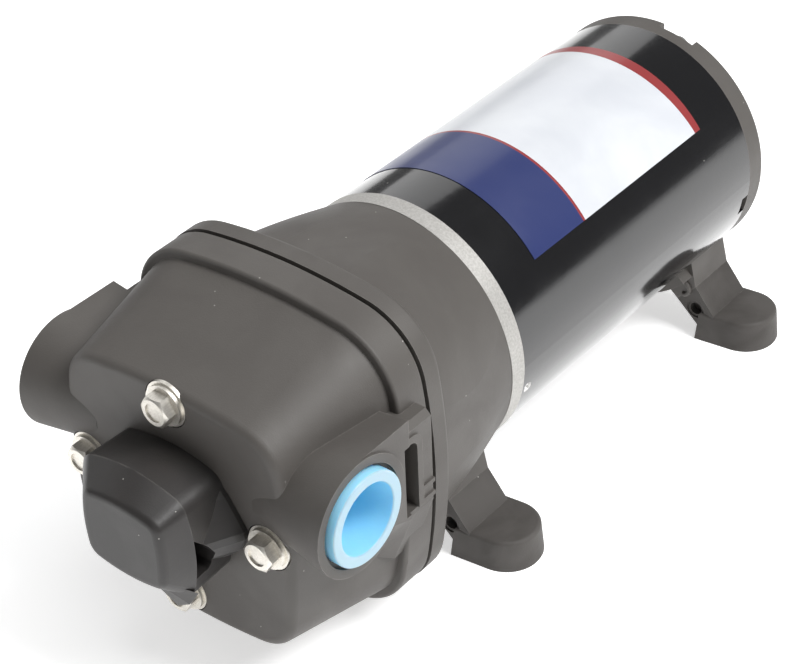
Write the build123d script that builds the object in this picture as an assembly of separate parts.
"""A 12 V diaphragm pressure pump: a four-chamber head on a round motor, on four rubber feet.

Millimetres. X is the width, Y the length with the pump head to the front (-Y), Z is up.
Y = 0 is halfway along the pump, and Z = 0 is the surface that its feet stand on.
A place along the pump is given as a station: its distance behind the front of the motor plate.
"""
from build123d import *
from math import atan2, cos, degrees, hypot, pi, radians, sin, sqrt
import os

os.makedirs("parts", exist_ok=True)

# Motor
axis_height = 50.0
motor_radius = 38.0
plate_thick = 5.3
plate_lip = 0.15
spigot_length = 3.0
pilot_radius = 14.0
pilot_length = 6.0
can_length = 112.2
can_wall = 2.0
end_cap_length = 7.2
end_cap_floor = 3.0
end_cap_spigot = 4.0
end_cap_edge = 1.2
shaft_radius = 4.0
bearing_radius = 11.0
bearing_width = 7.0
core_radius = 25.5
core_room = 17.7
armature_slots = 12
slot_mouth_width = 1.8
slot_mouth_depth = 4.5
slot_room_width = 6.0
slot_room_depth = 7.0
winding_length = 9.0
winding_inset = 3.0
winding_edge = 2.0
commutator_radius = 10.0
commutator_length = 14.0
commutator_gap = 4.0
commutator_slit_width = 0.6
commutator_slit_depth = 0.8
air_gap = 1.0
magnet_arc = 118.0
magnet_overhang = 5.5
brush_width = 7.0
brush_thick = 5.0
brush_length = 12.0
brush_box_wall = 1.5
brush_showing = 3.0
brush_spring_wire = 0.7
brush_spring_turns = 5
brush_plate_thick = 2.5
brush_plate_gap = 6.0
tie_bolt_angle = 76.0
tie_bolt_radius = 2.0
tie_bolt_reach = 6.5
tie_bolt_circle = 33.2
tie_bolt_head = 3.6
tie_bolt_head_thick = 2.6
tie_bolt_head_edge = 0.8
tie_bolt_hole_rest = 0.5
rim_recess_arc = 18.0
rim_recess_turn = 2.0
rim_recess_depth = 3.2
crimp_angle = -12.5
crimp_width = 6.0
crimp_length = 3.0
dimple_station = 8.0
dimple_radius = 1.3

# Label
label_start = 20.65
label_end_margin = 16.75
label_edge_angle = 37.4
label_thick = 0.15

# Lower housing
housing_length = 42.0
rim_length = 6.0
rim_half_width = 45.3
rim_half_height = 46.6
rim_corner = 20.5
rim_edge = 1.4
shell_step_width = 4.3
shell_step_height = 4.6
shell_corner = 30.0
shell_waist = 10.0
shell_waist_swell = 1.3
shell_waist_corner = 34.0
shell_waist_bow = 60.0
shell_end_bow = 1.5
housing_back = 8.0
cavity_half_width = 32.0
cavity_corner = 24.0
chamber_relief = 12.0
screw_boss = 5.5
screw_boss_length = 17.0
side_bow = 170.0

# Pump head
lip_length = 11.0
lip_inset = 0.2
lip_step = 2.6
lip_edge = 1.0
seam_groove_width = 1.2
seam_groove_depth = 1.3
head_length = 46.0
face_half_width = 36.8
face_half_height = 35.8
face_drop = 1.0
face_corner = 12.5
face_edge = 2.6
pocket_wall = 7.0
pocket_depth = 16.0
inlet_chamber_outer = 26.0
inlet_chamber_inner = 17.5
inlet_chamber_depth = 11.0
outlet_chamber_radius = 15.0
outlet_chamber_depth = 18.0
passage_radius = 5.0
inlet_passage_radius = 4.0
sensing_hole = 3.0
mark_depth = 0.5
mark_width = 0.7
mark_angle = -52.0
mark_strokes = ((4.8, 10.4, 3.4), (1.8, 9.4, 6.2))

# Ports
port_height = 11.4
port_setback = 12.5
port_boss_radius = 16.3
port_boss_root_radius = 12.6
port_face = 49.7
port_root = 26.0
shelf_root = 20.0
shelf_end = 14.1
shelf_underside_front = ((49.2, 4.0), (34.0, -8.0))
shelf_underside_back = ((48.9, -3.5), (42.5, -20.0))
side_panel_reach = 48.2
side_panel_top = 24.5
side_panel_edge = 1.6
side_panel_stop = 4.8
socket_depth = 15.2
socket_mouth_gap = 1.1
socket_mouth_depth = 1.4
plug_radius = 12.7
plug_cup_radius = 9.6
plug_proud = 1.9
plug_floor = 1.8
plug_clearance = 0.08
plug_end_gap = 0.8
plug_edge = 0.5
slot_start = 17.4
slot_width = 5.2
slot_low = -2.0
slot_high = 19.5
slot_depth = 9.5
slot_corner = 2.4
slot_frame = 2.0
slot_frame_rise = 0.5
ledge_length = 4.4
ledge_height = 1.2
ledge_rises = (0.1, 4.2)

# Screws that hold the head
screw_circle = 30.0
screw_radius = 2.5
screw_hole = 2.7
screw_length = 60.0
screw_flange = 5.6
screw_flange_thick = 1.1
screw_hex_flats = 8.0
screw_hex_height = 3.4
screw_hex_crown = 1.0
screw_hex_crown_height = 0.7
washer_radius = 6.3
washer_thick = 1.0
spot_face_depth = 1.1
head_dish_radius = 2.6
head_dish_depth = 0.5

# Diaphragm, valves and wobble drive
chamber_place = 17.0
chamber_radius = 13.0
chamber_depth = 8.0
valve_plate_thick = 14.0
diaphragm_thick = 2.0
diaphragm_disc_thick = 1.6
fold_radius = 12.3
fold_overlap = 0.5
diaphragm_hole_depth = 4.0
wobble_tilt = 3.0
piston_radius = 9.0
piston_thick = 3.2
piston_gap = 0.1
piston_screw_radius = 1.5
piston_screw_head = 3.0
piston_screw_head_thick = 2.0
piston_screw_length = 9.0
piston_edge = 1.0
wobble_boss_height = 2.4
wobble_plate_thick = 6.0
wobble_plate_radius = 21.0
wobble_hub_radius = 13.5
wobble_hub_length = 7.0
cam_bearing_radius = 9.5
cam_bearing_width = 6.0
cam_journal_radius = 4.0
cam_hub_radius = 11.0
cam_hub_length = 14.0
cam_hub_nose = 4.0
cam_tilt_room = 1.2
valve_radius = 5.6
valve_thick = 1.0
valve_stem = 1.5
valve_bulb = 0.3
valve_gap = 0.05
inlet_hole_radius = 1.1
inlet_hole_place = 3.4
outlet_hole_radius = 1.1
outlet_hole_place = 12.3
outlet_valve_radius = 13.9
outlet_stem = 2.2
outlet_stem_rest = 0.5
seal_thick = 1.2
seal_width = 0.8
seal_margin = 0.7

# Pressure switch
switch_base_length = 13.3
switch_cap_length = 8.7
switch_half_width = 18.8
switch_half_height = 17.7
switch_rise = 1.1
switch_bow = 45.0
switch_corner = 5.5
switch_draft = 0.5
cap_inset_left = 9.1
cap_inset_right = 2.7
cap_inset_top = 3.6
cap_inset_bottom = 9.4
cap_face_corner = 4.0
cap_edge = 2.4
cap_wall = 1.7
cap_tab = ((7.6, -15.5), (8.6, -18.8), (10.3, -19.9), (14.6, -17.2), (18.2, -11.5))
cap_tab_length = 7.0
cap_tab_draw = 0.75
wire_hole_depth = 9.0
wire_hole_outline = ((0.0, 5.5), (3.6, 1.8), (5.5, -1.4), (5.5, -5.4), (4.4, -6.8), (0.0, -6.8))
wire_hole_edge = 1.0
switch_ear = ((15.0, 14.5), (18.4, 10.8), (21.6, 5.8), (23.6, 2.4), (23.8, 0.2), (22.2, -3.6),
              (18.4, -7.5), (14.0, -11.0))
switch_ear_thick = 1.4
switch_ear_length = 12.0
switch_ear_draw = 5.5
switch_diaphragm_radius = 11.0
switch_diaphragm_thick = 1.5
plunger_radius = 5.0
plunger_stem = 2.0
plunger_flange_thick = 1.4
plunger_travel = 1.2
plunger_room = 8.2
plunger_tip_gap = 0.3
microswitch_pocket = 3.6
microswitch_width = 20.0
microswitch_thick = 6.4
microswitch_depth = 6.5
button_radius = 1.3
button_height = 1.8
button_length = 3.5
terminal_width = 3.2
terminal_thick = 0.6
terminal_length = 4.0
terminal_inset = 3.5
terminal_setback = 2.0
spring_wire = 0.8
spring_turns = 3
base_screw_radius = 1.5
base_screw_head = 2.7
base_screw_place = 13.4
base_screw_sink = 3.0
base_screw_head_thick = 2.4
base_screw_bite = 5.0

# Feet and rear saddle
foot_station_front = -10.6
foot_rear_setback = 7.1
pad_width = 20.4
pad_outer = 52.8
pad_inner = 31.0
pad_thick = 9.5
pad_corner = 10.0
pad_turn = 7.0
pad_taper = 5.0
pad_edge = 1.2
leg_width = 17.4
leg_outer_foot = (37.6, 9.5)
leg_inner_foot = (32.3, 4.2)
leg_heel_height = 3.0
leg_outer_top = (31.0, -32.4)
leg_inner_top = (24.8, -38.9)
lug_root = ((0.76, -0.62), (0.53, -0.68), (0.47, -0.87))
leg_hole_shift = (-0.4, -1.3)
leg_hole_radius = 2.0
leg_hole_depth = 3.0
leg_hole_ring = 2.9
leg_hole_sink = 0.5
tongue_width = 10.0
tongue_thick = 4.0
tongue_length = 5.0
tongue_clearance = 0.15
saddle_thick = 3.4
saddle_width = 23.0
saddle_end_angle = 44.5
saddle_lead = 13.4
saddle_screw_radius = 2.0
saddle_screw_head = 3.6
saddle_screw_head_thick = 2.4
saddle_screw_head_edge = 0.8
saddle_screw_sink = 1.4
saddle_screw_angle = 20.0
saddle_screw_bite = 0.5

# Screwdriver slots: length, width and depth
small_slot = (4.0, 0.8, 0.8)
large_slot = (5.0, 0.9, 0.8)

# Fits
sliding_gap = 0.05
running_gap = 0.3
seat_gap = 0.02
overrun = 5.0

front_reach = housing_length + head_length + switch_base_length + switch_cap_length
rear_reach = plate_thick + can_length + end_cap_length
plate_front_y = (front_reach - rear_reach) / 2
face_station = -(housing_length + head_length)
port_station = face_station + port_setback
seam_station = -housing_length
can_end_station = plate_thick + can_length
foot_station_rear = can_end_station - foot_rear_setback
port_z = axis_height + port_height
lip_half_width = rim_half_width - lip_inset
lip_half_height = rim_half_height - lip_inset
lip_corner = rim_corner
shell_half_width = rim_half_width - shell_step_width
shell_half_height = rim_half_height - shell_step_height
shell_waist_radius = motor_radius + shell_waist_swell
parts = {}


def across(station):
    """The plane across the pump at a station: local x is X, local y is Z, and it faces the front."""
    return Plane(origin=(0, plate_front_y + station, axis_height), x_dir=(1, 0, 0), z_dir=(0, -1, 0))


def sideways(x, station, height):
    """The plane that faces +X through a point: local x is Y and local y is Z."""
    return Plane(origin=(x, plate_front_y + station, height), x_dir=(0, 1, 0), z_dir=(1, 0, 0))


def rod(radius, start, end, place=(0, 0)):
    """A round bar along the pump from one station back to another."""
    return across(end) * Pos(place[0], place[1], 0) * extrude(Circle(radius), end - start)


def tube(outer, inner, start, end, place=(0, 0)):
    """A round bar with a bore."""
    return rod(outer, start, end, place) - rod(inner, start, end, place)


def side_rod(radius, x_start, x_end, station, height):
    """A round bar along X."""
    return sideways(x_start, station, height) * extrude(Circle(radius), x_end - x_start)


def block(x_range, station_range, z_range):
    """A box given by its limits, with its height from the floor."""
    size = (x_range[1] - x_range[0], station_range[1] - station_range[0], z_range[1] - z_range[0])
    middle = (sum(x_range) / 2, plate_front_y + sum(station_range) / 2, sum(z_range) / 2)
    return Pos(*middle) * Box(*size)


def bowed_square(half_width, half_height, corner, bow=side_bow):
    """A square with rounded corners and sides that bow outwards: eight arcs, each tangent to the next."""
    down = bow - half_height
    left = bow - half_width
    apart = hypot(down, left)
    reach = sqrt((bow - corner) ** 2 - (apart / 2) ** 2)
    toward = (down / apart, left / apart)
    centre = (-left / 2 + reach * toward[0], -down / 2 + reach * toward[1])
    share = bow / (bow - corner)
    on_top = (centre[0] * share, -down + (centre[1] + down) * share)
    on_side = (-left + (centre[0] + left) * share, centre[1] * share)
    on_corner = (centre[0] + corner * toward[0], centre[1] + corner * toward[1])
    arcs = []
    for sx, sy in ((1, 1), (1, -1), (-1, -1), (-1, 1)):
        quarter = [on_top, on_corner, on_side]
        if sx * sy < 0:
            quarter.reverse()
        arcs.append(ThreePointArc(*[(x * sx, y * sy) for x, y in quarter]))
    arcs.append(ThreePointArc((-on_top[0], on_top[1]), (0, half_height), on_top))
    arcs.append(ThreePointArc((-on_top[0], -on_top[1]), (0, -half_height), (on_top[0], -on_top[1])))
    arcs.append(ThreePointArc((on_side[0], -on_side[1]), (half_width, 0), on_side))
    arcs.append(ThreePointArc((-on_side[0], -on_side[1]), (-half_width, 0), (-on_side[0], on_side[1])))
    return make_face(Wire(arcs))


def slab(outline, start, end):
    """An outline pushed along the pump from one station back to another."""
    return across(end) * extrude(outline, end - start)


def at_screws(make):
    """Four copies of a piece, one at each head screw."""
    places = [(0, screw_circle), (screw_circle, 0), (0, -screw_circle), (-screw_circle, 0)]
    return [make(place) for place in places]


def at_chambers(make):
    """Four copies of a piece, one at each chamber."""
    signs = [(1, 1), (1, -1), (-1, -1), (-1, 1)]
    return [make((chamber_place * sx, chamber_place * sy)) for sx, sy in signs]


def polygon(points):
    return make_face(Polyline(*points, close=True))


def driver_slot(size):
    """The cutter of a screwdriver slot, centred on the head's face."""
    length, width, depth = size
    return Box(length, width, 2 * depth)


def cut_all(solid, tools):
    for tool in tools:
        solid = solid - tool
    return solid


def join_all(solid, pieces):
    for piece in pieces:
        solid = solid + piece
    return solid


def mirrored(solid):
    """The same piece on the other side of the pump."""
    return mirror(solid, Plane.YZ)


def coil(radius, wire, length, turns, frame):
    """A coil spring of one unbroken tube along the frame's z axis, in arcs of a quarter turn."""
    steps = turns * 4
    rise = (length - wire) / steps

    def on_helix(quarter):
        angle = quarter * pi / 2
        return (radius * cos(angle), radius * sin(angle), wire / 2 + rise * quarter)

    arcs = [ThreePointArc(on_helix(i), on_helix(i + 0.5), on_helix(i + 1)) for i in range(steps)]
    path = Wire(arcs)
    section = Plane(origin=path @ 0, z_dir=path % 0) * Circle(wire / 2)
    return frame * sweep(section, path=path)


# Places that several pieces share
screw_seat = face_station + spot_face_depth - washer_thick
diaphragm_front = seam_station - diaphragm_thick
valve_front = diaphragm_front - valve_plate_thick
pocket_station = seam_station - pocket_depth
tilt_centre = seam_station - diaphragm_thick / 2
pocket_half_width = lip_half_width - pocket_wall
pocket_half_height = lip_half_height - pocket_wall
pocket_corner = lip_corner - pocket_wall
socket_end = port_face - socket_depth
seal_rings = [(radius + seal_width / 2, radius - seal_width / 2)
              for radius in ((inlet_chamber_inner + outlet_chamber_radius) / 2,
                             inlet_chamber_outer + seal_margin)]
wobble_hub_end = -(diaphragm_disc_thick / 2 + piston_gap + wobble_boss_height + wobble_plate_thick
                   + wobble_hub_length)
cam_hub_front = tilt_centre - wobble_hub_end + cam_tilt_room
brush_plate_end = can_end_station - end_cap_spigot - brush_plate_gap
brush_plate_start = brush_plate_end - brush_plate_thick
brush_station = brush_plate_start - brush_box_wall - brush_width / 2
commutator_start = brush_station - commutator_length / 2
core_start = plate_thick + spigot_length + core_room + winding_length
core_end = commutator_start - commutator_gap - winding_length
switch_seam = face_station - switch_base_length
plunger_back = face_station - switch_diaphragm_thick - seat_gap
microswitch_back = switch_seam + microswitch_pocket - running_gap - button_height
base_screw_end = face_station + base_screw_bite


def wobble_frame():
    """The tilted frame of the wobble plate: it faces the front, and leans up by the cam's tilt."""
    return across(tilt_centre) * Rot(wobble_tilt, 0, 0)


def tilted_rod(radius, low, high, place=(0, 0)):
    """A round bar in the wobble plate's frame, from a low to a high place towards the front."""
    bar = extrude(Circle(radius), high - low)
    return wobble_frame() * Pos(place[0], place[1], low) * bar


# Pump head

def head_body():
    """The lip at the seam with its groove, and the body that tapers from it to the front face."""
    lip_end = seam_station - lip_length
    groove = seam_station - seam_groove_width
    lip = slab(bowed_square(lip_half_width, lip_half_height, lip_corner), lip_end, groove)
    lip = fillet(lip.edges().group_by(Axis.Y)[0], lip_edge)
    tail = bowed_square(lip_half_width - seam_groove_depth, lip_half_height - seam_groove_depth,
                        lip_corner - seam_groove_depth)
    root = bowed_square(lip_half_width - lip_step, lip_half_height - lip_step, lip_corner - lip_step)
    face = Pos(0, -face_drop) * bowed_square(face_half_width, face_half_height, face_corner)
    body = loft([across(lip_end) * root, across(face_station) * face])
    body = fillet(body.edges().group_by(Axis.Y)[0], face_edge)
    return lip + slab(tail, groove, seam_station) + body


def port_shelf():
    """The boss round the port on the +X side, the shelf behind it and the panel beside the lip."""
    face = sideways(port_face, port_station, port_z)
    root = face.offset(port_root - port_face) * Circle(port_boss_root_radius)
    boss = loft([face * Circle(port_boss_radius), root])
    slope = (port_boss_radius - port_boss_root_radius) / (port_face - port_root)

    def section(underside):
        (reach, low), foot = underside
        crown = port_height + port_boss_radius
        inner, outer = [crown - (port_face - x) * slope for x in (shelf_root, reach)]
        return polygon([(shelf_root, inner), (reach, outer), (reach, low), foot, (shelf_root, foot[1])])

    front = across(port_station) * section(shelf_underside_front)
    back = across(seam_station - shelf_end) * section(shelf_underside_back)
    low, foot = shelf_underside_back[0][1], shelf_underside_back[1]
    side = polygon([(shelf_root, side_panel_top), (side_panel_reach - side_panel_edge, side_panel_top),
                    (side_panel_reach, side_panel_top - side_panel_edge), (side_panel_reach, low), foot,
                    (shelf_root, foot[1])])
    panel = slab(side, seam_station - shelf_end, seam_station - side_panel_stop)
    return loft([front, back], ruled=True) + panel + boss


def slot_stations():
    """Where the clip slot starts and ends along the pump."""
    start = port_station + slot_start
    return start, start + slot_width


def slot_surround():
    """The raised edge behind and over the slot, and the two ledges that catch the clip."""
    start, end = slot_stations()
    face = side_panel_reach + slot_frame_rise
    low, high = axis_height + slot_low, axis_height + slot_high + slot_frame
    edge = block((port_face - slot_depth, face), (start, end + slot_frame), (low, high))
    corner = edge.edges().filter_by(Axis.X).group_by(Axis.Z)[-1].sort_by(Axis.Y)[-1]
    edge = fillet(corner, slot_corner + 1)
    for rise in ledge_rises:
        edge = edge + block((port_face - slot_depth, face), (end, end + slot_frame + ledge_length),
                            (low + rise, low + rise + ledge_height))
    return edge


def port_cuts():
    """The socket for a port fitting, and the slot beside it that takes the fitting's clip."""
    end = port_face + overrun
    socket = side_rod(plug_radius + plug_clearance, socket_end, end, port_station, port_z)
    socket = socket + side_rod(plug_radius + socket_mouth_gap, port_face - socket_mouth_depth, end,
                               port_station, port_z)
    slot = block((port_face - slot_depth, end), slot_stations(),
                 (axis_height + slot_low, axis_height + slot_high))
    corner = slot.edges().filter_by(Axis.X).group_by(Axis.Z)[-1].sort_by(Axis.Y)[-1]
    return socket, fillet(corner, slot_corner)


def pump_head():
    head = head_body()
    shelf = port_shelf() + slot_surround()
    head = head + shelf + mirrored(shelf)
    socket, slot = port_cuts()
    head = cut_all(head, [socket, slot, mirrored(socket), mirrored(slot)])
    pocket = bowed_square(pocket_half_width, pocket_half_height, pocket_corner)
    head = head - slab(pocket, pocket_station, seam_station)
    inlet_end = pocket_station - inlet_chamber_depth
    head = head - tube(inlet_chamber_outer, inlet_chamber_inner, inlet_end, pocket_station)
    outlet_end = pocket_station - outlet_chamber_depth
    head = head - rod(outlet_chamber_radius, outlet_end, pocket_station)
    head = head - rod(sensing_hole, face_station, outlet_end)
    head = head - side_rod(passage_radius, 0, socket_end, port_station, port_z)
    inlet_middle = (inlet_chamber_outer + inlet_chamber_inner) / 2
    inlet_x = -sqrt(inlet_middle ** 2 - port_height ** 2)
    head = head - side_rod(passage_radius, -socket_end, inlet_x, port_station, port_z)
    head = head - rod(inlet_passage_radius, port_station, inlet_end, (inlet_x, port_height))
    head = cut_all(head, at_screws(lambda at: rod(screw_hole, face_station, seam_station, at)))
    spot_end = face_station + spot_face_depth
    head = cut_all(head, at_screws(lambda at: rod(washer_radius + running_gap, face_station, spot_end, at)))
    base_holes = [rod(base_screw_radius + sliding_gap, face_station, base_screw_end + running_gap,
                      (0, place)) for place in (base_screw_place, -base_screw_place)]
    return cut_all(head, base_holes + face_marks())


def face_marks():
    """Two short moulded strokes on the front face, under the right port."""
    marks = []
    for inset, height, length in mark_strokes:
        stroke = Rot(0, 0, mark_angle) * Box(length, mark_width, 2 * mark_depth)
        marks.append(across(face_station) * Pos(face_half_width - inset, height, 0) * stroke)
    return marks


# Lower housing

def foot_lug(start, end):
    """The bracket that carries a foot on the +X side, with the tongue that goes into the foot."""
    root = [(x * motor_radius, z * motor_radius) for x, z in lug_root]
    lug = slab(polygon([leg_outer_top, *root, leg_inner_top]), start, end)
    down = leg_outer_foot[1] - axis_height - leg_outer_top[1]
    turn = degrees(atan2(down, leg_outer_foot[0] - leg_outer_top[0]))
    seat = [(outer + inner) / 2 for outer, inner in zip(leg_outer_top, leg_inner_top)]
    place = across((start + end) / 2) * Pos(*seat, 0) * Rot(0, 0, turn)
    return lug + place * Box(2 * tongue_length, tongue_thick, tongue_width), place


def shell_body():
    """The outside of the lower housing: a rounded square that draws in to the round motor."""
    rim_end = seam_station + rim_length
    rim = slab(bowed_square(rim_half_width, rim_half_height, rim_corner), seam_station, rim_end)
    rim = fillet(rim.edges().group_by(Axis.Y)[-1], rim_edge)
    front = bowed_square(shell_half_width, shell_half_height, shell_corner)
    waist = bowed_square(shell_waist_radius, shell_waist_radius, shell_waist_corner, shell_waist_bow)
    back = bowed_square(motor_radius, motor_radius, motor_radius - shell_end_bow,
                        motor_radius + shell_end_bow)
    return rim + loft([across(rim_end) * front, across(-shell_waist) * waist, across(0) * back])


def lower_housing():
    housing = shell_body()
    cavity = slab(bowed_square(cavity_half_width, cavity_half_width, cavity_corner), seam_station,
                  -housing_back)
    relief = seam_station + chamber_relief
    cavity = join_all(cavity, at_chambers(lambda at: rod(chamber_radius, seam_station, relief, at)))
    bosses = at_screws(lambda at: rod(screw_boss, seam_station, seam_station + screw_boss_length, at))
    webs = [slab(Pos(*at) * Rectangle(2 * screw_boss, 2 * screw_boss), seam_station,
                 seam_station + screw_boss_length)
            for at in [(0, screw_circle + screw_boss), (screw_circle + screw_boss, 0),
                       (0, -screw_circle - screw_boss), (-screw_circle - screw_boss, 0)]]
    cavity = cut_all(cavity, bosses + webs)
    housing = housing - cavity
    housing = housing - rod(pilot_radius + seat_gap, -housing_back, 0)
    screw_end = screw_seat + screw_length
    housing = cut_all(housing, at_screws(lambda at: rod(screw_radius + sliding_gap, seam_station,
                                                        screw_end + running_gap, at)))
    for bolt in tie_bolt_places():
        housing = housing - rod(tie_bolt_radius + seat_gap, -tie_bolt_reach - tie_bolt_hole_rest, 0, bolt)
    lug, _ = foot_lug(foot_station_front - leg_width / 2, foot_station_front + leg_width / 2)
    lug = lug - rod(motor_radius - can_wall, seam_station, 0)
    return housing + lug + mirrored(lug)


# Ports

def port_plug():
    """A light plastic cup that closes the port until it is fitted."""
    start = socket_end + plug_end_gap
    end = port_face + plug_proud
    plug = side_rod(plug_radius, start, end, port_station, port_z)
    cup = side_rod(plug_cup_radius, start + plug_floor, end, port_station, port_z)
    plug = plug - cup
    return fillet(plug.edges().group_by(Axis.X)[-1], plug_edge)


# Head screws

def head_screw(place):
    """A hexagon screw with a flange."""
    under_head = screw_seat - screw_flange_thick
    shank = rod(screw_radius, screw_seat, screw_seat + screw_length, place)
    flange = rod(screw_flange, under_head, screw_seat, place)
    corner = screw_hex_flats / sqrt(3)
    top = under_head - screw_hex_height
    hexagon = slab(Pos(*place) * RegularPolygon(corner, 6), top, under_head)
    crown = rod(corner, top, under_head, place)
    crown = chamfer(crown.edges().group_by(Axis.Y)[0], screw_hex_crown_height, screw_hex_crown)
    dish = rod(head_dish_radius, top, top + head_dish_depth, place)
    return shank + flange + (hexagon & crown) - dish


def screw_washer(place):
    return tube(washer_radius, screw_hole, screw_seat, screw_seat + washer_thick, place)


# Valves and diaphragm

def beside(place, turn):
    """The place of an inlet hole beside a chamber's middle, turned from the way out of the axis."""
    angle = atan2(place[1], place[0]) + radians(turn)
    return place[0] + inlet_hole_place * cos(angle), place[1] + inlet_hole_place * sin(angle)


def outlet_hole(place):
    """A hole at the inner edge of a chamber, under the outlet valve."""
    share = outlet_hole_place / hypot(*place)
    return rod(outlet_hole_radius, valve_front, diaphragm_front, (place[0] * share, place[1] * share))


def valve_plate():
    plate = bowed_square(pocket_half_width - running_gap, pocket_half_height - running_gap,
                         pocket_corner - running_gap)
    plate = slab(plate, valve_front, diaphragm_front)
    plate = cut_all(plate, at_chambers(lambda at: rod(chamber_radius, diaphragm_front - chamber_depth,
                                                      diaphragm_front, at)))
    plate = cut_all(plate, at_screws(lambda at: rod(screw_hole, valve_front, diaphragm_front, at)))
    plate = cut_all(plate, at_chambers(lambda at: rod(valve_stem + valve_gap, valve_front,
                                                      diaphragm_front, at)))
    for turn in (90, 180, 270):
        plate = cut_all(plate, at_chambers(lambda at: rod(inlet_hole_radius, valve_front,
                                                          diaphragm_front, beside(at, turn))))
    plate = cut_all(plate, at_chambers(outlet_hole))
    plate = plate - rod(outlet_stem + valve_gap, valve_front, diaphragm_front)
    for outer, inner in seal_rings:
        plate = plate - tube(outer, inner, valve_front, valve_front + seal_thick)
    return plate


def inlet_valve(place):
    """A rubber umbrella valve on the chamber's floor."""
    floor = diaphragm_front - chamber_depth
    disc = rod(valve_radius, floor + valve_gap, floor + valve_gap + valve_thick, place)
    stem = rod(valve_stem, valve_front - valve_gap, floor + valve_gap, place)
    bulb = rod(valve_stem + valve_bulb, valve_front - valve_gap - valve_thick, valve_front - valve_gap, place)
    return disc + stem + bulb


def outlet_valve():
    """One rubber umbrella valve that covers the outlet holes of all four chambers."""
    disc = rod(outlet_valve_radius, valve_front - valve_gap - valve_thick, valve_front - valve_gap)
    stem = rod(outlet_stem, valve_front - valve_gap, diaphragm_front - outlet_stem_rest)
    return disc + stem


def head_seals():
    """The two rings that keep inlet, outlet and outside apart."""
    return [tube(outer - seat_gap, inner + seat_gap, valve_front + seat_gap,
                 valve_front + seal_thick - seat_gap) for outer, inner in seal_rings]


def diaphragm():
    plate = bowed_square(pocket_half_width - running_gap, pocket_half_height - running_gap,
                         pocket_corner - running_gap)
    flange = slab(plate, diaphragm_front, seam_station)
    flange = cut_all(flange, at_chambers(lambda at: rod(fold_radius, diaphragm_front, seam_station, at)))
    half = diaphragm_disc_thick / 2
    flange = join_all(flange, at_chambers(lambda at: tilted_rod(fold_radius + fold_overlap, -half, half, at)))
    flange = cut_all(flange, at_screws(lambda at: rod(screw_hole, diaphragm_front, seam_station, at)))
    deep = diaphragm_hole_depth / 2
    return cut_all(flange, at_chambers(lambda at: tilted_rod(piston_screw_radius + sliding_gap, -deep,
                                                             deep, at)))


def piston(place):
    """The cap that clamps the diaphragm to the wobble plate from the chamber's side."""
    base = diaphragm_disc_thick / 2 + piston_gap
    cap = tilted_rod(piston_radius, base, base + piston_thick, place)
    cap = chamfer(cap.edges().filter_by(GeomType.CIRCLE).sort_by(Axis.Y)[0], piston_edge)
    return cap - tilted_rod(piston_screw_radius + sliding_gap, base, base + piston_thick, place) \
        - tilted_rod(piston_screw_head + sliding_gap, base + piston_thick - piston_screw_head_thick,
                     base + piston_thick, place)


def piston_screw(place):
    base = diaphragm_disc_thick / 2 + piston_gap + piston_thick - piston_screw_head_thick
    head = tilted_rod(piston_screw_head, base, base + piston_screw_head_thick, place)
    shank = tilted_rod(piston_screw_radius, base - piston_screw_length, base, place)
    top = wobble_frame() * Pos(*place, base + piston_screw_head_thick)
    return head + shank - top * driver_slot(small_slot)


def wobble_plate():
    back = -diaphragm_disc_thick / 2 - piston_gap
    front = back - wobble_boss_height
    plate = tilted_rod(wobble_plate_radius, front - wobble_plate_thick, front)
    plate = join_all(plate, at_chambers(lambda at: tilted_rod(piston_radius, front - wobble_plate_thick,
                                                              front, at)))
    plate = join_all(plate, at_chambers(lambda at: tilted_rod(piston_radius - 1, front, back, at)))
    hub_end = wobble_hub_end
    plate = plate + tilted_rod(wobble_hub_radius, hub_end, front)
    plate = plate - tilted_rod(cam_bearing_radius + seat_gap, hub_end, hub_end + cam_bearing_width)
    plate = plate - tilted_rod(cam_bearing_radius - 2, hub_end, front - 2)
    plate = cut_all(plate, at_chambers(lambda at: tilted_rod(piston_screw_radius + seat_gap,
                                                             front - wobble_plate_thick + 1, back, at)))
    return plate


def cam_bearing():
    end = wobble_hub_end
    return tilted_rod(cam_bearing_radius, end, end + cam_bearing_width) \
        - tilted_rod(cam_journal_radius + sliding_gap, end, end + cam_bearing_width)


def cam_hub():
    """The hub on the motor shaft, with a journal at the cam's tilt."""
    journal = tilted_rod(cam_journal_radius, wobble_hub_end - 3, wobble_hub_end + cam_bearing_width)
    hub_end = cam_hub_front + cam_hub_length
    hub = rod(cam_hub_radius, cam_hub_front, hub_end) + journal
    return hub - rod(shaft_radius + seat_gap, cam_hub_front + cam_hub_nose, hub_end)


# Motor

def motor_front_plate():
    plate = rod(motor_radius + plate_lip, 0, plate_thick)
    plate = plate + rod(pilot_radius, -pilot_length, 0)
    back = plate_thick + spigot_length
    plate = plate + rod(motor_radius - can_wall - seat_gap, plate_thick, back)
    plate = plate - rod(bearing_radius + seat_gap, back - bearing_width, back)
    plate = plate - rod(shaft_radius + 1, -pilot_length, back)
    for bolt in tie_bolt_places():
        plate = plate - rod(tie_bolt_radius + seat_gap, 0, back, bolt)
    return plate


def tie_bolt_places():
    """Two bolts on opposite sides of the shaft."""
    angle = radians(tie_bolt_angle)
    place = (tie_bolt_circle * cos(angle), tie_bolt_circle * sin(angle))
    return [place, (-place[0], -place[1])]


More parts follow.
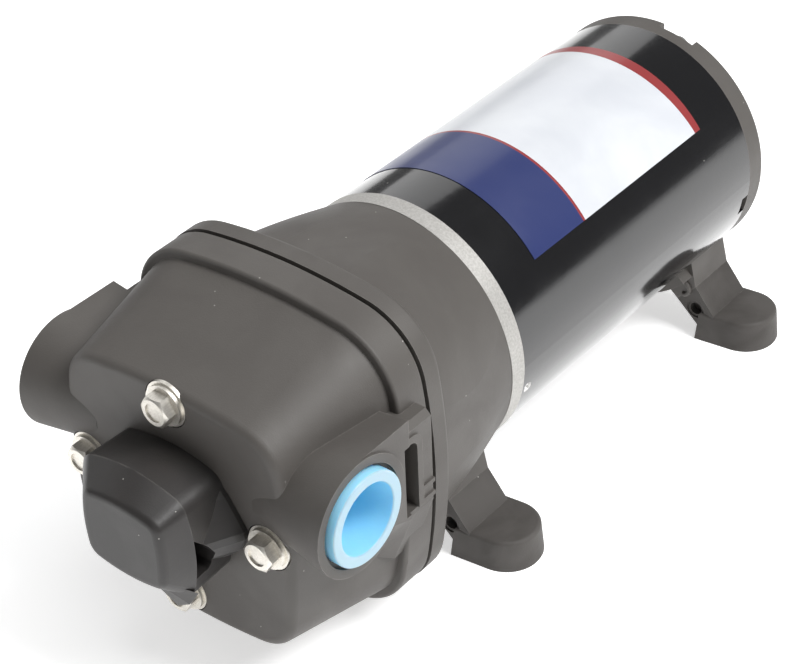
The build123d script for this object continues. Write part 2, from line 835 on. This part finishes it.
def motor_can():
    """The steel tube, with a crimp notch at its rear edge on each side and a dimple at the front."""
    can = tube(motor_radius, motor_radius - can_wall, plate_thick, can_end_station)
    for side in (0, 180):
        notch = across(can_end_station) * Rot(0, 0, crimp_angle + side) * Pos(motor_radius, 0, 0)
        can = can - notch * Box(3 * can_wall, crimp_width, 2 * crimp_length)
        spot = across(dimple_station) * Rot(0, 0, crimp_angle + side) * Pos(motor_radius, 0, 0)
        can = can - spot * Sphere(dimple_radius)
    for place in saddle_screw_places():
        can = can - place * Pos(0, 0, motor_radius - 2 * can_wall) \
            * extrude(Circle(saddle_screw_radius + seat_gap), 3 * can_wall)
    return can


def motor_end_cap():
    """The moulded cap that closes the can, with a rim recess for each tie bolt."""
    end = can_end_station + end_cap_length
    cap = rod(motor_radius, can_end_station, end)
    cap = fillet(cap.edges().group_by(Axis.Y)[-1], end_cap_edge)
    spigot_front = can_end_station - end_cap_spigot
    cap = cap + rod(motor_radius - can_wall - seat_gap, spigot_front, can_end_station)
    cap = cap - rod(bearing_radius + seat_gap, spigot_front, can_end_station + end_cap_floor)
    floor = end - rim_recess_depth
    for bolt in tie_bolt_places():
        cap = cap - rod(tie_bolt_radius + sliding_gap, spigot_front, end, bolt)
        cap = cap - rod(tie_bolt_head + running_gap, floor, end, bolt)
    for side in (0, 180):
        middle = tie_bolt_angle + rim_recess_turn + side
        low, high = middle - rim_recess_arc / 2, middle + rim_recess_arc / 2
        cap = cap - sector(tie_bolt_circle - tie_bolt_head, motor_radius + overrun, low, high, floor, end)
    return cap


def tie_bolt(place):
    end = can_end_station + end_cap_length - rim_recess_depth
    shank = rod(tie_bolt_radius, -tie_bolt_reach, end, place)
    head = rod(tie_bolt_head, end, end + tie_bolt_head_thick, place)
    head = fillet(head.edges().group_by(Axis.Y)[-1], tie_bolt_head_edge)
    top = across(end + tie_bolt_head_thick) * Pos(*place, 0)
    return shank + (head - top * driver_slot(large_slot))


def sector(inner, outer, low_angle, high_angle, start, end):
    """A curved strip round the motor's axis, between two angles from +X."""
    low, high = radians(low_angle), radians(high_angle)
    middle = (low + high) / 2

    def at(radius, angle):
        return (radius * cos(angle), radius * sin(angle))

    edges = [ThreePointArc(at(outer, low), at(outer, middle), at(outer, high)),
             Line(at(outer, high), at(inner, high)),
             ThreePointArc(at(inner, high), at(inner, middle), at(inner, low)),
             Line(at(inner, low), at(outer, low))]
    return slab(make_face(Wire(edges)), start, end)


def motor_label():
    return sector(motor_radius + seat_gap, motor_radius + seat_gap + label_thick, label_edge_angle,
                  180 - label_edge_angle, label_start, can_end_station - label_end_margin)


def magnets():
    inner = core_radius + air_gap
    outer = motor_radius - can_wall - seat_gap
    middle = tie_bolt_angle - 90
    return [sector(inner, outer, middle + side - magnet_arc / 2, middle + side + magnet_arc / 2,
                   core_start - magnet_overhang, core_end + magnet_overhang) for side in (0, 180)]


def motor_shaft():
    front = cam_hub_front + cam_hub_nose + seat_gap
    return rod(shaft_radius, front, can_end_station + end_cap_floor - running_gap)


def armature_core():
    core = rod(core_radius, core_start, core_end)
    length = core_end - core_start
    for step in range(armature_slots):
        angle = 360 / armature_slots * step
        mouth = across((core_start + core_end) / 2) * Rot(0, 0, angle) * Pos(core_radius, 0, 0)
        core = core - mouth * Box(2 * slot_mouth_depth + 1, slot_mouth_width, length)
        room = mouth * Pos(-slot_mouth_depth - slot_room_depth / 2, 0, 0)
        core = core - room * Box(slot_room_depth, slot_room_width, length)
    return core - rod(shaft_radius + seat_gap, core_start, core_end)


def armature_windings():
    """The ends of the windings, in front of the core and behind it."""
    rings = []
    for start in (core_start - winding_length, core_end):
        ring = tube(core_radius - winding_inset, shaft_radius + winding_inset, start, start + winding_length)
        rings.append(fillet(ring.edges().filter_by(GeomType.CIRCLE), winding_edge))
    return rings


def commutator():
    start = commutator_start
    ring = tube(commutator_radius, shaft_radius + seat_gap, start, start + commutator_length)
    for step in range(armature_slots):
        angle = 360 / armature_slots * step
        slit = across(start + commutator_length / 2) * Rot(0, 0, angle) * Pos(commutator_radius, 0, 0)
        ring = ring - slit * Box(2 * commutator_slit_depth, commutator_slit_width, commutator_length)
    return ring


def motor_bearing(start):
    return tube(bearing_radius, shaft_radius + sliding_gap, start, start + bearing_width)


def brush(side):
    start = commutator_radius + running_gap
    return side_block(start, start + brush_length, brush_thick, brush_width, side)


def side_block(x_start, x_end, thick, width, side):
    """A block that lies along the brush axis on one side of the shaft."""
    size = (x_end - x_start, thick, width)
    return across(brush_station) * Rot(0, 0, tie_bolt_angle - 90 + side) \
        * Pos((x_start + x_end) / 2, 0, 0) * Box(*size)


def brush_plate():
    """The moulded plate that holds the brushes, with a box round each brush and its spring."""
    outer = motor_radius - can_wall - running_gap
    plate = tube(outer, commutator_radius + brush_box_wall, brush_plate_start, brush_plate_end)
    for side in (0, 180):
        start = commutator_radius + running_gap + brush_showing
        wall = brush_box_wall
        box = side_block(start, outer - wall, brush_thick + 2 * wall, brush_width + 2 * wall, side)
        hollow = side_block(start - 1, outer - 2 * wall, brush_thick + 2 * sliding_gap,
                            brush_width + 2 * sliding_gap, side)
        plate = plate + (box - hollow)
    for bolt in tie_bolt_places():
        plate = plate - rod(tie_bolt_radius + running_gap, brush_plate_start, brush_plate_end, bolt)
    return plate


def brush_spring(side):
    start = commutator_radius + running_gap + brush_length + seat_gap
    end = motor_radius - can_wall - running_gap - 2 * brush_box_wall - seat_gap
    radius = brush_thick / 2 - brush_spring_wire
    frame = across(brush_station) * Rot(0, 0, tie_bolt_angle - 90 + side) * Pos(start, 0, 0)
    return coil(radius, brush_spring_wire, end - start, brush_spring_turns, frame * Rot(0, 90, 0))


# Pressure switch

def switch_outline(inset):
    """The bowed outline of the switch, drawn in all round, with the nearer corners kept round."""
    outline = bowed_square(switch_half_width - inset, switch_half_height - inset,
                           max(switch_corner - inset / 2, cap_face_corner), switch_bow)
    return Pos(0, switch_rise) * outline


def cap_face():
    """Half the width and height of the cap's front face, and its middle: it lies high and to one side."""
    half_width = switch_half_width - (cap_inset_left + cap_inset_right) / 2
    half_height = switch_half_height - (cap_inset_top + cap_inset_bottom) / 2
    middle = ((cap_inset_left - cap_inset_right) / 2, switch_rise + (cap_inset_bottom - cap_inset_top) / 2)
    return half_width, half_height, middle


def cap_shell(inset):
    """The cap's form from its seam to its smaller front face, drawn in by an inset."""
    half_width, half_height, middle = cap_face()
    face = bowed_square(half_width - inset, half_height - inset, cap_face_corner, switch_bow)
    back = across(switch_seam) * switch_outline(inset)
    front = across(switch_seam - switch_cap_length + inset) * (Pos(*middle) * face)
    return loft([back, front], ruled=True)


def cap_corner():
    """The web that runs from the lower corner of the cap's face down to the tab."""
    half_width, half_height, (x, z) = cap_face()
    corner = (x + half_width - cap_face_corner, z - half_height + cap_face_corner)
    drawn = [(px + (corner[0] - px) * cap_tab_draw, pz + (corner[1] - pz) * cap_tab_draw)
             for px, pz in cap_tab]
    return loft([across(switch_seam) * polygon(cap_tab),
                 across(switch_seam - cap_tab_length) * polygon(drawn)], ruled=True)


def switch_ears():
    """An ear on each side of the base at the face, which fades into its side towards the front."""
    root = slab(polygon(switch_ear), face_station - switch_ear_thick, face_station)
    drawn = [(max(x - switch_ear_draw, x / 2), z) for x, z in switch_ear]
    web = loft([across(face_station - switch_ear_thick) * polygon(switch_ear),
                across(face_station - switch_ear_length) * polygon(drawn)], ruled=True)
    ear = root + web
    return ear + mirrored(ear)


def switch_base():
    seam = switch_seam
    base = loft([across(face_station) * switch_outline(switch_draft), across(seam) * switch_outline(0)])
    base = base + switch_ears()
    base = base - rod(switch_diaphragm_radius + running_gap, face_station - switch_diaphragm_thick,
                      face_station)
    base = base - rod(plunger_radius + sliding_gap, face_station - plunger_room, face_station)
    base = base - rod(plunger_stem + sliding_gap, seam, face_station)
    pocket = Rectangle(microswitch_width + 2 * running_gap, microswitch_thick + 2 * running_gap)
    base = base - slab(pocket, seam, seam + microswitch_pocket)
    for side in (-1, 1):
        place = (0, side * base_screw_place)
        base = base - rod(base_screw_radius + sliding_gap, seam, face_station, place)
        base = base - rod(base_screw_head + running_gap, seam, seam + base_screw_sink, place)
    return base - wire_hole()


def wire_hole():
    """The opening on the +X side through which the leads leave the switch."""
    start = sideways(switch_half_width - wire_hole_depth, switch_seam, axis_height)
    hole = start * extrude(polygon(wire_hole_outline), wire_hole_depth + overrun)
    edges = hole.edges().filter_by(Axis.X).sort_by(Axis.Y)[2:]
    return fillet(edges, wire_hole_edge)


def switch_cap():
    """The cover over the microswitch, with soft edges and a tab at its lower corner."""
    cap = cap_shell(0)
    cap = fillet(cap.edges().group_by(Axis.Y)[0], cap_edge)
    return cap + cap_corner() - cap_shell(cap_wall)


def switch_diaphragm():
    return rod(switch_diaphragm_radius, face_station - switch_diaphragm_thick + seat_gap, face_station)


def switch_plunger():
    """The piston that the water pressure pushes forward against the spring."""
    flange = rod(plunger_radius, plunger_back - plunger_flange_thick, plunger_back)
    stem = rod(plunger_stem, switch_seam + microswitch_pocket - plunger_tip_gap, plunger_back)
    return flange + stem


def switch_spring():
    back = plunger_back - plunger_flange_thick - sliding_gap
    length = back - (face_station - plunger_room + sliding_gap)
    radius = plunger_radius - spring_wire / 2 - running_gap
    return coil(radius, spring_wire, length, spring_turns, across(back))


def microswitch():
    back = microswitch_back
    front = back - microswitch_depth
    half_w, half_t = microswitch_width / 2, microswitch_thick / 2
    body = block((-half_w, half_w), (front, back), (axis_height - half_t, axis_height + half_t))
    room = button_length - button_height + plunger_travel + running_gap
    return body - rod(button_radius + sliding_gap, back - room, back)


def microswitch_button():
    back = microswitch_back
    top = back + button_height - plunger_tip_gap
    return rod(button_radius, top - button_length + plunger_tip_gap, top)


def switch_terminals():
    """Two blades under the microswitch, where the leads would be pushed on."""
    blades = []
    back = microswitch_back
    for side in (-1, 1):
        x = side * (microswitch_width / 2 - terminal_inset)
        top = axis_height - microswitch_thick / 2
        front = back - microswitch_depth + terminal_setback
        blades.append(block((x - terminal_width / 2, x + terminal_width / 2),
                            (front, front + terminal_thick), (top - terminal_length, top)))
    return blades


def base_screw(side):
    seat = switch_seam + base_screw_sink
    place = (0, side * base_screw_place)
    head = rod(base_screw_head, seat - base_screw_head_thick, seat, place)
    shank = rod(base_screw_radius, seat, base_screw_end, place)
    top = across(seat - base_screw_head_thick) * Pos(*place, 0)
    return head + shank - top * driver_slot(small_slot)


# Feet and saddle

def foot_right(station):
    """A rubber foot: a tapered pad with a rounded end, and a slanted leg that slips over the tongue."""
    start, end = station - leg_width / 2, station + leg_width / 2
    on_floor = [(x, z - axis_height) for x, z in (leg_inner_foot, (leg_outer_foot[0], leg_heel_height))]
    outer_foot = (leg_outer_foot[0], leg_outer_foot[1] - axis_height)
    leg = slab(polygon([outer_foot, leg_outer_top, leg_inner_top, *on_floor]), start, end)
    outline = Pos((pad_outer - pad_inner) / 2, 0) * Rectangle(pad_outer - pad_inner, pad_width)
    outline = fillet(outline.vertices().sort_by(Axis.X)[2:], pad_corner)
    pad = extrude(outline, pad_thick, taper=pad_taper)
    pad = fillet(pad.faces().sort_by(Axis.Z)[-1].edges(), pad_edge)
    foot = Pos(pad_inner, plate_front_y + station) * Rot(0, 0, pad_turn) * pad + leg
    _, place = foot_lug(start, end)
    slack = 2 * tongue_clearance
    foot = foot - place * Box(2 * tongue_length + slack, tongue_thick + slack, tongue_width + slack)
    hole = ((leg_outer_top[0] + leg_inner_foot[0]) / 2 + leg_hole_shift[0],
            (leg_outer_top[1] + leg_inner_foot[1] - axis_height) / 2 + leg_hole_shift[1])
    for edge, inward in ((start, 1), (end, -1)):
        deep = sorted((edge, edge + inward * leg_hole_depth))
        sunk = sorted((edge, edge + inward * leg_hole_sink))
        foot = foot - rod(leg_hole_radius, deep[0], deep[1], hole)
        foot = foot - rod(leg_hole_ring, sunk[0], sunk[1], hole)
    return foot


def rear_saddle():
    """The moulded saddle under the can that carries the two rear feet."""
    start = foot_station_rear - saddle_lead
    end = start + saddle_width
    inner = motor_radius + sliding_gap
    strap = sector(inner, inner + saddle_thick, -180 + saddle_end_angle, -saddle_end_angle, start, end)
    lug, _ = foot_lug(foot_station_rear - leg_width / 2, foot_station_rear + leg_width / 2)
    lug = lug - rod(inner, start - 1, end + 1)
    saddle = strap + lug + mirrored(lug)
    outside = inner + saddle_thick
    for place in saddle_screw_places():
        saddle = saddle - place * Pos(0, 0, inner - 1) \
            * extrude(Circle(saddle_screw_radius + sliding_gap), saddle_thick + 2)
        saddle = saddle - place * Pos(0, 0, outside - saddle_screw_sink) \
            * extrude(Circle(saddle_screw_head + running_gap), 2 * saddle_screw_sink)
    return saddle


def saddle_screw_places():
    """The frames of the saddle's two screws, on the motor's axis with z pointing out and down."""
    frames = []
    for side in (-1, 1):
        angle = radians(-90 + side * saddle_screw_angle)
        frames.append(Plane(origin=(0, plate_front_y + foot_station_rear, axis_height),
                            x_dir=(0, 1, 0), z_dir=(cos(angle), 0, sin(angle))))
    return frames


def saddle_screw(place):
    seat = motor_radius + sliding_gap + saddle_thick - saddle_screw_sink
    tip = motor_radius - can_wall - saddle_screw_bite
    head = place * Pos(0, 0, seat) * extrude(Circle(saddle_screw_head), saddle_screw_head_thick)
    head = fillet(head.edges().filter_by(GeomType.CIRCLE).sort_by(Axis.Z)[0], saddle_screw_head_edge)
    shank = place * Pos(0, 0, tip) * extrude(Circle(saddle_screw_radius), seat - tip)
    top = place * Pos(0, 0, seat + saddle_screw_head_thick)
    return head + shank - top * driver_slot(large_slot)


plug = port_plug()
parts["pump_head"] = pump_head()
parts["lower_housing"] = lower_housing()
parts["right_port_plug"] = plug
parts["left_port_plug"] = mirrored(plug)
parts["head_screws"] = Compound(at_screws(head_screw))
parts["head_screw_washers"] = Compound(at_screws(screw_washer))
parts["valve_plate"] = valve_plate()
parts["inlet_valves"] = Compound(at_chambers(inlet_valve))
parts["outlet_valve"] = outlet_valve()
parts["head_seals"] = Compound(head_seals())
parts["diaphragm"] = diaphragm()
parts["pistons"] = Compound(at_chambers(piston))
parts["piston_screws"] = Compound(at_chambers(piston_screw))
parts["wobble_plate"] = wobble_plate()
parts["cam_bearing"] = cam_bearing()
parts["cam_hub"] = cam_hub()
parts["motor_front_plate"] = motor_front_plate()
parts["motor_can"] = motor_can()
parts["motor_end_cap"] = motor_end_cap()
parts["motor_tie_bolts"] = Compound([tie_bolt(place) for place in tie_bolt_places()])
parts["motor_label"] = motor_label()
parts["magnets"] = Compound(magnets())
parts["motor_shaft"] = motor_shaft()
parts["armature_core"] = armature_core()
parts["armature_windings"] = Compound(armature_windings())
parts["commutator"] = commutator()
parts["front_bearing"] = motor_bearing(plate_thick + spigot_length - bearing_width)
parts["rear_bearing"] = motor_bearing(can_end_station + end_cap_floor - bearing_width)
parts["brush_plate"] = brush_plate()
parts["brushes"] = Compound([brush(side) for side in (0, 180)])
parts["brush_springs"] = Compound([brush_spring(side) for side in (0, 180)])
parts["switch_base"] = switch_base()
parts["switch_cap"] = switch_cap()
parts["switch_diaphragm"] = switch_diaphragm()
parts["switch_plunger"] = switch_plunger()
parts["switch_spring"] = switch_spring()
parts["microswitch"] = microswitch()
parts["microswitch_button"] = microswitch_button()
parts["switch_terminals"] = Compound(switch_terminals())
parts["switch_base_screws"] = Compound([base_screw(side) for side in (-1, 1)])
for place, station in (("front", foot_station_front), ("rear", foot_station_rear)):
    foot = foot_right(station)
    parts[f"{place}_right_foot"] = foot
    parts[f"{place}_left_foot"] = mirrored(foot)
parts["rear_saddle"] = rear_saddle()
parts["saddle_screws"] = Compound([saddle_screw(place) for place in saddle_screw_places()])

for name, solid in parts.items():
    export_step(solid, f"parts/{name}.step")
